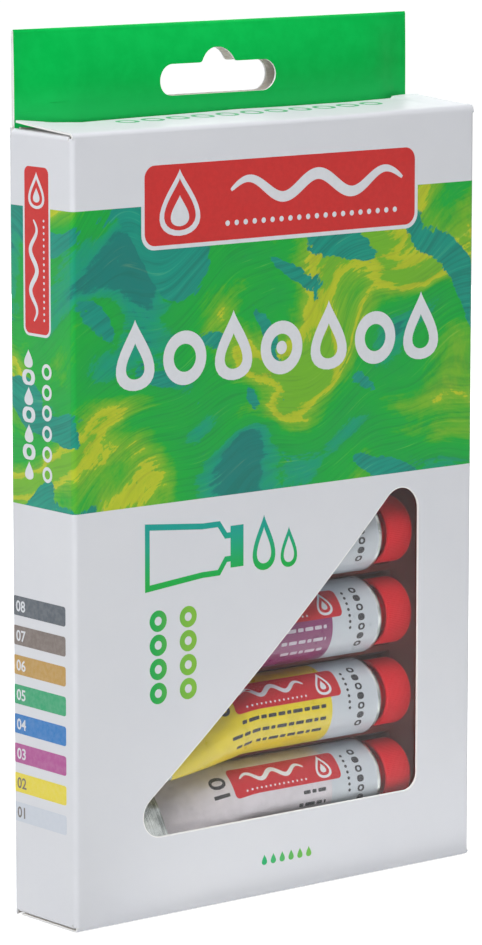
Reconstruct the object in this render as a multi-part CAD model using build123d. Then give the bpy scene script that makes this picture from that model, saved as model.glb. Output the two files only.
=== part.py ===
from build123d import *
import os
from math import cos, hypot, pi, radians, sin

# A windowed folding carton with a hang tab, holding eight tubes of gouache in a formed tray.
# Millimetres. X runs along the front, Y from the front (-) to the back (+), and Z up from
# the surface that the carton stands on. The origin is at the middle of the footprint.

# Carton
CARTON_WIDTH = 115.0
CARTON_DEPTH = 23.0
CARTON_HEIGHT = 175.0
BOARD = 0.45
FOLD_RADIUS = 1.1
TOP_LID_TILT = 3.0          # degrees that the closed top lid still stands up at the back
LID_SIDE_GAP = 0.25
RIM_GAP = 0.12              # between a lid and the folded rims of the side flaps under it

# Tuck flaps
TUCK_DEPTH = 13.0
TUCK_INSET = 2.5            # from the carton's back to the outer face of a tuck flap
TUCK_FOLD_RADIUS = 0.9
TUCK_SIDE_GAP = 1.2
TUCK_CORNER_RADIUS = 6.0
LOCK_SLIT = 8.0             # length of the slit at each end of a tuck crease
LOCK_GAP = 0.5

# Side flaps under each lid
FLAP_LENGTH = 20.0
FLAP_END_GAP = 0.4
FLAP_TIP_WIDTH = 4.25
FLAP_BACK_MARGIN = 1.8
FLAP_BACK_TAPER = 4.5
FLAP_CORNER_RADIUS = 2.0

# Glue flap
GLUE_FLAP_WIDTH = 13.0
GLUE_FLAP_TAPER = 12.0

# Hang tab
TAB_HEIGHT = 21.0
TAB_FOLD_RADIUS = 0.85
TAB_BULGE = 1.2
TAB_TUCK_IN = 1.0           # how far the front ply runs down behind the lid
TAB_INSET_LEFT = 1.0        # from the carton's side to the tab's end
TAB_INSET_RIGHT = 1.9
HANG_SLOT_OFFSET = -2.2     # from the carton's middle to the slot's
HANG_SLOT_WIDTH = 33.0
HANG_SLOT_HEIGHT = 7.0
HANG_SLOT_RISE = 5.0        # from the carton's top to the slot's lower edge
HUMP_WIDTH = 10.0
HUMP_TOP = 10.3             # above the slot's lower edge
HUMP_FILLET = 1.0

# Window, a rounded triangle whose long side bows slightly into the opening
WINDOW_RIGHT_MARGIN = 16.2
WINDOW_LEFT_MARGIN = 8.7    # to the sharp corner before it is rounded
WINDOW_BOTTOM = 18.0
WINDOW_HEIGHT = 79.4        # to the sharp corner before it is rounded
WINDOW_BOW = 2.4
WINDOW_RADIUS_RIGHT = 4.0
WINDOW_RADIUS_LEFT = 5.0
WINDOW_RADIUS_TOP = 5.5
FILM = 0.15
FILM_GLUE_MARGIN = 8.0

# Tubes
TUBE_COLOURS = (
    "white", "yellow", "magenta", "blue", "green", "ochre", "brown", "black",
)                           # from the bottom of the carton up
STACK_MARGIN = 11.9         # least distance from an end of the carton to the nearest tube
TAIL_MARGIN = 11.5          # from the carton's left side to the tubes' tails
TUBE_GAP = 1.6
TUBE_WALL = 0.3
TUBE_SETBACK = 1.1          # from the window film to the front of a tube
STRAIGHT_LENGTH = 36.2
CRIMP_LENGTH = 4.0
CRIMP_THICKNESS = 1.4
TAIL_SLANT = 36.0           # degrees that the flat tails' upper edges lean towards the back
SHOULDER_LENGTH = 2.9
SHOULDER_TOP_RADIUS = 4.6
NECK_RADIUS = 4.0
NECK_LENGTH = 6.7
NOZZLE_RADIUS = 2.2
PAINT_GAP = 0.1
TAPER_SECTIONS = 4
OVAL_POWER = 1.6            # how a pressed oval widens while the way round it stays

# Caps
CAP_INSET = 1.05            # from the tube's outside in to the cap's
CAP_LENGTH = 8.0
CAP_END_WALL = 1.4
CAP_CLEARANCE = 0.2         # around the neck
CAP_SKIRT_WALL = 1.2
CAP_SKIRT_DEPTH = 1.6
CAP_ROUNDING = 1.3
CAP_STAND_OFF = 3.3         # from the shoulder's outer edge to the cap's rim
CAP_END_MARGIN = 15.0       # from the cap's end to the carton's right side

# Tray
TRAY_WALL = 0.4
TRAY_CLEARANCE = 0.3
TUCK_CLEARANCE = 0.15       # between the tray's deepest back and a tuck flap
RIDGE_SETBACK = 2.0         # from the tubes' axes back to the face between the pockets
SKIRT_MARGIN = 14.0

# Worked out from the sizes above
FRONT = -CARTON_DEPTH / 2
BACK = CARTON_DEPTH / 2
LEFT = -CARTON_WIDTH / 2
RIGHT = CARTON_WIDTH / 2
MIDDLE = CARTON_HEIGHT / 2
LID_BACK = BACK - TUCK_INSET
CREASE = CARTON_HEIGHT - FOLD_RADIUS
RIM_TOP = CARTON_HEIGHT - BOARD - RIM_GAP
RIM_CREASE = RIM_TOP - FOLD_RADIUS
TAB_TOP = CARTON_HEIGHT + TAB_HEIGHT
TAB_FOLD_START = TAB_TOP - TAB_FOLD_RADIUS
TUBE_COUNT = len(TUBE_COLOURS)
TUBE_FRONT = FRONT + BOARD + FILM + TUBE_SETBACK
DEPTH_ROOM = LID_BACK - BOARD - TUCK_CLEARANCE - TRAY_WALL - TRAY_CLEARANCE - TUBE_FRONT
HEIGHT_ROOM = (CARTON_HEIGHT - 2 * STACK_MARGIN + TUBE_GAP) / TUBE_COUNT - TUBE_GAP
TUBE_RADIUS = min(DEPTH_ROOM, HEIGHT_ROOM) / 2
TUBE_PITCH = 2 * TUBE_RADIUS + TUBE_GAP
TUBE_Y = TUBE_FRONT + TUBE_RADIUS
FIRST_TUBE_Z = MIDDLE - TUBE_PITCH * (TUBE_COUNT - 1) / 2
CAP_RADIUS = TUBE_RADIUS - CAP_INSET
CAP_END = RIGHT - CAP_END_MARGIN
CAP_RIM = CAP_END - CAP_LENGTH
SHOULDER = CAP_RIM - CAP_STAND_OFF
TAPER_START = SHOULDER - STRAIGHT_LENGTH
TAIL_END = LEFT + TAIL_MARGIN
CRIMP_START = TAIL_END + CRIMP_LENGTH
NECK_START = SHOULDER + SHOULDER_LENGTH
NECK_END = NECK_START + NECK_LENGTH
POCKET_RADIUS = TUBE_RADIUS + TRAY_CLEARANCE
RIDGE_Y = TUBE_Y + RIDGE_SETBACK


def along_x(sketch, x_from, x_to):
    """Extrude a profile drawn in (Y, Z) from one X to another."""
    return extrude(Plane.YZ.offset(x_from) * sketch, amount=x_to - x_from)


def through_y(sketch, y_from, y_to):
    """Extrude a profile drawn in (X, Z) from one Y to another."""
    return extrude(Plane.XZ.offset(-y_to) * sketch, amount=y_to - y_from)


def block(x_from, x_to, y_from, y_to, z_from, z_to):
    size = Box(x_to - x_from, y_to - y_from, z_to - z_from, align=(Align.MIN,) * 3)
    return Pos(x_from, y_from, z_from) * size


def quarter_fold(radius, across, up):
    """Section of a board bent through a right angle, in the quadrant that across and up name."""
    corner = Pos(across * radius / 2, up * radius / 2) * Rectangle(radius, radius)
    return (Circle(radius) - Circle(radius - BOARD)) & corner


def upright_wall(y_outer, inward, z_from, z_to):
    """A front or back panel with its two upright edges bent round towards the side panels."""
    half_flat = CARTON_WIDTH / 2 - FOLD_RADIUS
    section = Pos(0, y_outer + inward * BOARD / 2) * Rectangle(2 * half_flat, BOARD)
    for side in (-1, 1):
        centre = Pos(side * half_flat, y_outer + inward * FOLD_RADIUS)
        section += centre * quarter_fold(FOLD_RADIUS, side, -inward)
    return extrude(Pos(0, 0, z_from) * section, amount=z_to - z_from)


def window_outline():
    left = LEFT + WINDOW_LEFT_MARGIN
    right = RIGHT - WINDOW_RIGHT_MARGIN
    top = WINDOW_BOTTOM + WINDOW_HEIGHT
    long_side = hypot(right - left, WINDOW_HEIGHT)
    bow_x = (left + right) / 2 + WINDOW_BOW * WINDOW_HEIGHT / long_side
    bow_z = (WINDOW_BOTTOM + top) / 2 - WINDOW_BOW * (right - left) / long_side
    edges = [
        Line((left, WINDOW_BOTTOM), (right, WINDOW_BOTTOM)),
        Line((right, WINDOW_BOTTOM), (right, top)),
        ThreePointArc((right, top), (bow_x, bow_z), (left, WINDOW_BOTTOM)),
    ]
    outline = make_face(edges)
    for corner, radius in (
        ((left, WINDOW_BOTTOM), WINDOW_RADIUS_LEFT),
        ((right, WINDOW_BOTTOM), WINDOW_RADIUS_RIGHT),
        ((right, top), WINDOW_RADIUS_TOP),
    ):
        sharp = outline.vertices().sort_by_distance((*corner, 0))[0]
        outline = fillet(sharp, radius)
    return outline


def front_panel():
    wall = upright_wall(FRONT, 1, FOLD_RADIUS, CREASE)
    return wall - through_y(window_outline(), FRONT - 1, FRONT + BOARD + 1)


def back_panel():
    return upright_wall(BACK, -1, 0, CARTON_HEIGHT)


def side_panel(side):
    outer = side * CARTON_WIDTH / 2
    inner = outer - side * BOARD
    y_reach = CARTON_DEPTH / 2 - FOLD_RADIUS
    bottom = CARTON_HEIGHT - RIM_CREASE
    return block(min(outer, inner), max(outer, inner), -y_reach, y_reach, bottom, RIM_CREASE)


def glue_flap():
    """The back panel's joining flap, stuck to the inside of the left panel."""
    back = BACK - FOLD_RADIUS
    front = back - GLUE_FLAP_WIDTH
    bottom = CARTON_HEIGHT - RIM_CREASE
    outline = Polygon(
        (back, bottom), (back, RIM_CREASE),
        (front, RIM_CREASE - GLUE_FLAP_TAPER), (front, bottom + GLUE_FLAP_TAPER),
        align=None,
    )
    return along_x(outline, LEFT + BOARD, LEFT + 2 * BOARD)


def hang_slot():
    """The hanging slot with its hump, drawn in (X, Z)."""
    low = CARTON_HEIGHT + HANG_SLOT_RISE
    middle = HANG_SLOT_OFFSET
    bar = Pos(middle, low + HANG_SLOT_HEIGHT / 2) * SlotOverall(HANG_SLOT_WIDTH, HANG_SLOT_HEIGHT)
    hump_centre = low + HUMP_TOP - HUMP_WIDTH / 2
    hump = Pos(middle, hump_centre) * Circle(HUMP_WIDTH / 2)
    outline = bar + hump
    top_edge = low + HANG_SLOT_HEIGHT
    corners = outline.vertices().filter_by(
        lambda point: abs(point.Y - top_edge) < 0.01
        and abs(point.X - middle) < HUMP_WIDTH / 2 + 0.01
    )
    return fillet(corners, HUMP_FILLET)


def hang_tab_rear_ply():
    ply = block(
        LEFT + TAB_INSET_LEFT, RIGHT - TAB_INSET_RIGHT, BACK - BOARD, BACK,
        CARTON_HEIGHT, TAB_FOLD_START,
    )
    return ply - through_y(hang_slot(), BACK - BOARD - 1, BACK + 1)


def hang_tab_front_ply():
    """The front ply, which bows forward between the top fold and the lid."""
    face_y = BACK - 2 * TAB_FOLD_RADIUS
    low = CARTON_HEIGHT - TAB_TUCK_IN
    half_height = (TAB_FOLD_START - low) / 2
    bow_radius = (half_height**2 + TAB_BULGE**2) / (2 * TAB_BULGE)
    centre = Pos(face_y - TAB_BULGE + bow_radius, low + half_height)
    height_band = Pos(face_y, low + half_height) * Rectangle(2 * bow_radius, 2 * half_height)
    section = (centre * (Circle(bow_radius) - Circle(bow_radius - BOARD))) & height_band
    fold_centre = Pos(BACK - TAB_FOLD_RADIUS, TAB_FOLD_START)
    for across in (-1, 1):
        section += fold_centre * quarter_fold(TAB_FOLD_RADIUS, across, 1)
    ply = along_x(section, LEFT + TAB_INSET_LEFT, RIGHT - TAB_INSET_RIGHT)
    return ply - through_y(hang_slot(), face_y - TAB_BULGE - 1, BACK + 1)


def lid():
    """A lid lying flat and shut at the top, with its front fold and the slits for the lock."""
    half_width = CARTON_WIDTH / 2 - LID_SIDE_GAP
    fold = Pos(FRONT + FOLD_RADIUS, CREASE) * quarter_fold(FOLD_RADIUS, -1, 1)
    under = CARTON_HEIGHT - BOARD
    flat_start = FRONT + FOLD_RADIUS
    tuck_start = LID_BACK - TUCK_FOLD_RADIUS
    plate = block(-half_width, half_width, flat_start, LID_BACK, under, CARTON_HEIGHT)
    half_crease = CARTON_WIDTH / 2 - LOCK_SLIT
    notch = block(
        -half_crease - LOCK_GAP, half_crease + LOCK_GAP, tuck_start, LID_BACK + 1,
        under - 1, CARTON_HEIGHT + 1,
    )
    return along_x(fold, -half_width, half_width) + (plate - notch)


def tuck_flap():
    """The flap at the back of a shut, flat lid, hanging down inside the back panel."""
    half_crease = CARTON_WIDTH / 2 - LOCK_SLIT
    half_width = CARTON_WIDTH / 2 - TUCK_SIDE_GAP
    fold_z = CARTON_HEIGHT - TUCK_FOLD_RADIUS
    low = CARTON_HEIGHT - TUCK_DEPTH
    shoulder = fold_z - LOCK_GAP
    centre = Pos(LID_BACK - TUCK_FOLD_RADIUS, fold_z)
    bend = along_x(centre * quarter_fold(TUCK_FOLD_RADIUS, 1, 1), -half_crease, half_crease)
    outline = Pos(0, (low + shoulder) / 2) * Rectangle(2 * half_width, shoulder - low)
    outline = fillet(outline.vertices().group_by(Axis.Y)[0], TUCK_CORNER_RADIUS)
    outline += Pos(0, (shoulder + fold_z) / 2) * Rectangle(2 * half_crease, fold_z - shoulder)
    return bend + through_y(outline, LID_BACK - BOARD, LID_BACK)


def side_flap(side):
    """A side flap folded in under the shut lid, tapered to swing clear of lid and tuck flap."""
    y_front = FRONT + FOLD_RADIUS + FLAP_END_GAP
    y_back = LID_BACK - BOARD - FLAP_BACK_MARGIN
    tip_back = y_back - FLAP_BACK_TAPER
    rim_x = CARTON_WIDTH / 2 - FOLD_RADIUS
    tip_x = CARTON_WIDTH / 2 - FLAP_LENGTH
    fold = extrude(
        Plane.XZ.offset(-y_back)
        * Pos(side * rim_x, RIM_CREASE)
        * quarter_fold(FOLD_RADIUS, side, 1),
        amount=y_back - y_front,
    )
    outline = Polygon(
        (rim_x, y_front), (rim_x, y_back),
        (tip_x, tip_back), (tip_x, tip_back - FLAP_TIP_WIDTH),
        align=None,
    )
    outline = fillet(outline.vertices().group_by(Axis.X)[0], FLAP_CORNER_RADIUS)
    if side < 0:
        outline = mirror(outline, about=Plane.YZ)
    plate = extrude(Pos(0, 0, RIM_TOP - BOARD) * outline, amount=BOARD)
    return fold + plate


def raised(piece):
    """Turn a piece about the top lid's front crease by the angle that the lid stands up."""
    crease = Axis((0, FRONT, CREASE), (1, 0, 0))
    return piece.rotate(crease, TOP_LID_TILT)


def top_lid():
    return raised(lid())


def top_tuck_flap():
    """Hangs upright from the raised lid's back crease."""
    inner = (0, LID_BACK - TUCK_FOLD_RADIUS, CARTON_HEIGHT - BOARD)
    return raised(tuck_flap().rotate(Axis(inner, (1, 0, 0)), -TOP_LID_TILT))


def at_bottom(piece):
    return mirror(piece, about=Plane.XY.offset(MIDDLE))


def window_film():
    """Clear film stuck behind the front panel, larger than the window all round."""
    left = LEFT + WINDOW_LEFT_MARGIN + WINDOW_RADIUS_LEFT - FILM_GLUE_MARGIN
    right = RIGHT - WINDOW_RIGHT_MARGIN + FILM_GLUE_MARGIN
    low = WINDOW_BOTTOM - FILM_GLUE_MARGIN
    high = WINDOW_BOTTOM + WINDOW_HEIGHT
    back = FRONT + BOARD
    return block(left, right, back, back + FILM, low, high)


def tube_z(index):
    return FIRST_TUBE_Z + TUBE_PITCH * index


def half_width_of(half_thickness, radius):
    """Half the width of a round tube pressed oval, whose way round keeps its length."""
    flat = radius * pi / 2
    return flat - (flat - radius) * (half_thickness / radius) ** OVAL_POWER


def tube_solid(shrink, crimped):
    """The tube's outer form, or the space inside it when shrink is its wall and gaps."""
    radius = TUBE_RADIUS - shrink
    end_half = CRIMP_THICKNESS / 2 - shrink
    sections = []
    for step in range(TAPER_SECTIONS + 1):
        share = step / TAPER_SECTIONS
        half_thickness = radius + (end_half - radius) * share
        section_x = TAPER_START + (CRIMP_START - TAPER_START) * share
        place = Plane.YZ.offset(section_x) * Rot(0, 0, -TAIL_SLANT)
        oval = Ellipse(half_width_of(half_thickness, radius), half_thickness)
        sections.append(place * Rot(0, 0, 90) * oval)
    form = loft(sections)
    profile = Polygon(
        (TAPER_START, 0), (TAPER_START, radius), (SHOULDER - shrink, radius),
        (NECK_START - shrink, SHOULDER_TOP_RADIUS - shrink), (NECK_START - shrink, 0),
        align=None,
    )
    form += revolve(Plane.XY * profile, axis=Axis.X)
    if crimped:
        half_flat = half_width_of(end_half, radius)
        tail = Plane.YZ.offset(TAIL_END) * Rot(0, 0, -TAIL_SLANT)
        crimp = extrude(
            tail * Rot(0, 0, 90) * Rectangle(2 * half_flat, CRIMP_THICKNESS),
            amount=CRIMP_LENGTH,
        )
        form += crimp
    return form


def tube_body():
    """A drawn aluminium tube on the X axis: folded tail, shoulder and hollow neck."""
    outside = tube_solid(0, True)
    outside += Pos(NECK_START, 0, 0) * Rot(0, 90, 0) * Cylinder(
        NECK_RADIUS, NECK_LENGTH, align=(Align.CENTER, Align.CENTER, Align.MIN)
    )
    nozzle = Pos(SHOULDER, 0, 0) * Rot(0, 90, 0) * Cylinder(
        NOZZLE_RADIUS, NECK_END - SHOULDER, align=(Align.CENTER, Align.CENTER, Align.MIN)
    )
    return outside - tube_solid(TUBE_WALL, False) - nozzle


def paint():
    return tube_solid(TUBE_WALL + PAINT_GAP, False)


def cap():
    """A moulded screw cap on the X axis, open towards the tube."""
    bore = NECK_RADIUS + CAP_CLEARANCE
    skirt = CAP_RADIUS - CAP_SKIRT_WALL
    inner_end = CAP_END - CAP_END_WALL
    profile = Polygon(
        (CAP_RIM, skirt), (CAP_RIM, CAP_RADIUS), (CAP_END, CAP_RADIUS),
        (CAP_END, 0), (inner_end, 0), (inner_end, bore),
        (CAP_RIM + CAP_SKIRT_DEPTH, bore), (CAP_RIM + CAP_SKIRT_DEPTH, skirt),
        align=None,
    )
    outer_corner = profile.vertices().sort_by_distance((CAP_END, CAP_RADIUS, 0))[0]
    return revolve(fillet(outer_corner, CAP_ROUNDING), axis=Axis.X)


def pocket_profile(radius):
    """One tube's pocket, seen from the side, from its round back to the ridge face."""
    keep = Pos(RIDGE_Y + radius / 2, 0) * Rectangle(radius, 2 * radius)
    return (Pos(TUBE_Y, 0) * Circle(radius)) & keep


def tray():
    """A formed sheet: a round pocket for each tube and one wide pocket for all their tails."""
    reach_x = CARTON_WIDTH / 2 - 2 * BOARD - TRAY_CLEARANCE
    low = CARTON_HEIGHT - RIM_TOP + BOARD + TRAY_CLEARANCE
    high = CARTON_HEIGHT - low
    sheet = block(-reach_x, reach_x, RIDGE_Y, RIDGE_Y + TRAY_WALL, low, high)

    pocket_end = CAP_END + TRAY_CLEARANCE
    slant = radians(TAIL_SLANT)
    tail_half = half_width_of(CRIMP_THICKNESS / 2, TUBE_RADIUS)
    tail_rise = tail_half * cos(slant) + CRIMP_THICKNESS / 2 * sin(slant) + TRAY_CLEARANCE
    tail_low = tube_z(0) - tail_rise
    tail_high = tube_z(TUBE_COUNT - 1) + tail_rise
    tail_left = TAIL_END - TRAY_CLEARANCE
    tail_deep = TUBE_Y + POCKET_RADIUS

    outside = block(
        tail_left - TRAY_WALL, TAPER_START + TRAY_WALL, RIDGE_Y, tail_deep + TRAY_WALL,
        tail_low - TRAY_WALL, tail_high + TRAY_WALL,
    )
    inside = block(tail_left, TAPER_START, RIDGE_Y - 1, tail_deep, tail_low, tail_high)
    for index in range(TUBE_COUNT):
        level = Pos(0, 0, tube_z(index))
        outer_pocket = pocket_profile(POCKET_RADIUS + TRAY_WALL)
        outside += level * along_x(outer_pocket, TAPER_START, pocket_end + TRAY_WALL)
        inner_pocket = Pos(TUBE_Y, 0) * Circle(POCKET_RADIUS)
        inside += level * along_x(inner_pocket, TAPER_START - 1, pocket_end)

    skirt_back = BACK - BOARD - TRAY_CLEARANCE
    for side in (-1, 1):
        edge = side * reach_x
        inner = edge - side * TRAY_WALL
        outside += block(
            min(edge, inner), max(edge, inner), RIDGE_Y, skirt_back,
            low + SKIRT_MARGIN, high - SKIRT_MARGIN,
        )
    return sheet + outside - inside


def build_parts():
    pieces = {
        "front_panel": front_panel(),
        "back_panel": back_panel(),
        "left_side_panel": side_panel(-1),
        "right_side_panel": side_panel(1),
        "glue_flap": glue_flap(),
        "hang_tab_rear_ply": hang_tab_rear_ply(),
        "hang_tab_front_ply": hang_tab_front_ply(),
        "top_lid": top_lid(),
        "top_tuck_flap": top_tuck_flap(),
        "top_flap_left": side_flap(-1),
        "top_flap_right": side_flap(1),
        "bottom_lid": at_bottom(lid()),
        "bottom_tuck_flap": at_bottom(tuck_flap()),
        "bottom_flap_left": at_bottom(side_flap(-1)),
        "bottom_flap_right": at_bottom(side_flap(1)),
        "window_film": window_film(),
        "tray": tray(),
    }
    body, fill, screw_cap = tube_body(), paint(), cap()
    for index, colour in enumerate(TUBE_COLOURS):
        place = Pos(0, TUBE_Y, tube_z(index))
        pieces[f"tube_{colour}"] = place * body
        pieces[f"paint_{colour}"] = place * fill
        pieces[f"cap_{colour}"] = place * screw_cap
    return pieces


os.makedirs("parts", exist_ok=True)
for name, piece in build_parts().items():
    export_step(piece, f"parts/{name}.step")
print("top lid hinge at", (0, FRONT, CREASE))
print("tubes at", [round(tube_z(index), 2) for index in range(TUBE_COUNT)], "on Y", TUBE_Y)
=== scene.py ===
from math import cos, hypot, pi, radians, sin, sqrt

import bmesh
import bpy
import numpy as np
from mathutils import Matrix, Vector
from mathutils.geometry import tessellate_polygon


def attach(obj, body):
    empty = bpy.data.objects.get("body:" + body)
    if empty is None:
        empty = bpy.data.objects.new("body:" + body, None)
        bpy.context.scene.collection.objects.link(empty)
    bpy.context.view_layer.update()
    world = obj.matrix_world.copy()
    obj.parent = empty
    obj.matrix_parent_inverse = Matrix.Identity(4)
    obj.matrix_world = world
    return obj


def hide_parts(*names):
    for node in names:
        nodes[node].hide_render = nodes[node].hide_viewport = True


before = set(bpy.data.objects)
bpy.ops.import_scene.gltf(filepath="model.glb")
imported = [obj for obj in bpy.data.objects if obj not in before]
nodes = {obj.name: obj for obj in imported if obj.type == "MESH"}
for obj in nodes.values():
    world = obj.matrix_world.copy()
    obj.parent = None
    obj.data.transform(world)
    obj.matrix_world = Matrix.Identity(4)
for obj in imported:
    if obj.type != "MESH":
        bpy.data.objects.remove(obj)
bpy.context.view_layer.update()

# ---------------------------------------------------------------------------------------
# Studio: a plain pale floor under a white surround, a softbox high in front, weak ones left,
# overhead and behind, and the floor's bounce. The camera stands low, well off to the left.
# ---------------------------------------------------------------------------------------
MM = 0.001

camera = bpy.data.objects.new("camera", bpy.data.cameras.new("camera"))
camera.data.lens = 171.43
camera.data.sensor_width = 36.0
camera.data.clip_start = 0.05
camera.data.clip_end = 20.0
camera.location = (-0.63089, -0.77666, 0.25514)
camera.rotation_euler = (radians(80.903), 0.0, radians(-39.003))
bpy.context.scene.collection.objects.link(camera)
bpy.context.scene.camera = camera
bpy.context.scene.view_settings.view_transform = "Standard"

for lamp_name, watts, size, place, aim in (
    ("softbox_high", 5.3, 0.5, (-0.32, -0.30, 0.85), (0.0, 0.0, 0.10)),
    ("softbox_left", 2.2, 0.7, (-0.95, -0.25, 0.45), (0.0, 0.0, 0.10)),
    ("softbox_top", 1.8, 0.7, (0.20, -0.02, 1.30), (0.0, 0.0, 0.175)),
    ("softbox_back", 6.0, 0.8, (0.55, 0.95, 0.26), (0.0, 0.0, 0.10)),
    ("floor_bounce", 0.024, 0.14, (0.025, -0.085, 0.002), (0.025, -0.0849, 0.12)),
):
    lamp_data = bpy.data.lights.new(lamp_name, "AREA")
    lamp_data.energy = watts
    lamp_data.size = size
    lamp = bpy.data.objects.new(lamp_name, lamp_data)
    lamp.location = place
    lamp.rotation_euler = (Vector(aim) - Vector(place)).to_track_quat("-Z", "Y").to_euler()
    lamp.visible_camera = False
    bpy.context.scene.collection.objects.link(lamp)


def add_node(tree, kind, inputs, **settings):
    """A shader node with its settings, whose inputs are numbers, colours or other sockets."""
    made = tree.nodes.new("ShaderNode" + kind)
    for key, value in settings.items():
        setattr(made, key, value)
    for key, value in inputs.items():
        if isinstance(value, bpy.types.NodeSocket):
            tree.links.new(value, made.inputs[key])
        else:
            made.inputs[key].default_value = value
    return made


def maths(tree, operation, *values):
    return add_node(tree, "Math", dict(enumerate(values)), operation=operation).outputs[0]


world = bpy.data.worlds.new("studio")
world.use_nodes = True
bpy.context.scene.world = world
tree = world.node_tree
tree.nodes.clear()
ray = add_node(tree, "LightPath", {})
seen = maths(tree, "MAXIMUM", ray.outputs["Is Camera Ray"], ray.outputs["Is Glossy Ray"])
seen = maths(tree, "MAXIMUM", seen, ray.outputs["Is Transmission Ray"])
ambient = add_node(tree, "Background", {"Color": (0.96, 0.98, 1.0, 1.0), "Strength": 0.22})
backdrop = add_node(tree, "Background", {"Color": (1.0, 1.0, 1.0, 1.0), "Strength": 1.0})
either = add_node(tree, "MixShader", {0: seen, 1: ambient.outputs[0], 2: backdrop.outputs[0]})
add_node(tree, "OutputWorld", {"Surface": either.outputs[0]})

floor_mesh = bpy.data.meshes.new("floor")
reach = 4.0
floor_corners = [(-reach, -reach, 0), (reach, -reach, 0), (reach, reach, 0), (-reach, reach, 0)]
floor_mesh.from_pydata(floor_corners, [], [(0, 1, 2, 3)])
floor = bpy.data.objects.new("floor", floor_mesh)
floor.location.z = -0.15 * MM
bpy.context.scene.collection.objects.link(floor)
floor_paint = bpy.data.materials.new("pale_floor")
floor_paint.use_nodes = True
tree = floor_paint.node_tree
tree.nodes.clear()
ray = add_node(tree, "LightPath", {})
seen = maths(tree, "MAXIMUM", ray.outputs["Is Camera Ray"], ray.outputs["Is Glossy Ray"])
matt = add_node(tree, "BsdfDiffuse", {"Color": (0.86, 0.86, 0.86, 1.0)})
lift = add_node(tree, "Emission", {"Strength": maths(tree, "MULTIPLY", seen, 0.85)})
both = add_node(tree, "AddShader", {0: matt.outputs[0], 1: lift.outputs[0]})
add_node(tree, "OutputMaterial", {"Surface": both.outputs[0]})
floor_mesh.materials.append(floor_paint)

# ---------------------------------------------------------------------------------------
# Carton walls: one sheet of coated folding board, printed outside, raw grey-beige inside and
# bright white where it is cut. A band of brushed green paint is printed round it.
# ---------------------------------------------------------------------------------------
CARTON_WIDTH = 115.0
CARTON_DEPTH = 23.0
CARTON_HEIGHT = 175.0
BOARD = 0.45
FOLD_RADIUS = 1.1
BAND_LOW = 92.8
BAND_HIGH = 158.3
FRONT = -CARTON_DEPTH / 2
SIDE = CARTON_WIDTH / 2


def rgb(red, green, blue):
    """An 8-bit screen colour as the linear colour that a shader takes."""
    share = [value / 255 for value in (red, green, blue)]
    return (*[s / 12.92 if s <= 0.04045 else ((s + 0.055) / 1.055) ** 2.4 for s in share], 1.0)


def mixed(tree, factor, first, second):
    return add_node(tree, "Mix", {0: factor, 6: first, 7: second}, data_type="RGBA").outputs[2]


def eased(tree, value, start, end, low=0.0, high=1.0):
    """Rises smoothly from low to high as value goes from start to end."""
    steps = {"Value": value, "From Min": start, "From Max": end, "To Min": low, "To Max": high}
    return add_node(tree, "MapRange", steps, interpolation_type="SMOOTHSTEP").outputs["Result"]


def noise(tree, place, scale, detail=2.0, roughness=0.5, output="Fac"):
    steps = {"Vector": place, "Scale": scale, "Detail": detail, "Roughness": roughness}
    return add_node(tree, "TexNoise", steps).outputs[output]


def stretched(tree, place, scale, turn=(0.0, 0.0, 0.0)):
    """The same place turned, then scaled along each axis."""
    turned = add_node(tree, "Mapping", {"Vector": place, "Rotation": turn}, vector_type="POINT")
    return add_node(
        tree, "VectorMath", {0: turned.outputs[0], 1: scale}, operation="MULTIPLY"
    ).outputs[0]


def new_finish(name):
    """A material with its tree, its shader and the place on the object in millimetres."""
    material = bpy.data.materials.new(name)
    material.use_nodes = True
    tree = material.node_tree
    coordinates = add_node(tree, "TexCoord", {})
    place = stretched(tree, coordinates.outputs["Object"], (1000.0, 1000.0, 1000.0))
    return material, tree, tree.nodes["Principled BSDF"], place, coordinates.outputs["Normal"]


def relief(tree, shader, height, distance):
    """Bumps the surface by height, of which 1 stands for distance metres."""
    bump = add_node(tree, "Bump", {"Height": height, "Distance": distance, "Strength": 1.0})
    tree.links.new(bump.outputs[0], shader.inputs["Normal"])


def coloured(tree, shader, colour):
    tree.links.new(colour, shader.inputs["Base Color"])


def roughened(tree, shader, place, scale, low, high):
    tree.links.new(eased(tree, noise(tree, place, scale, 3.0), 0.3, 0.7, low, high),
                   shader.inputs["Roughness"])


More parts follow.
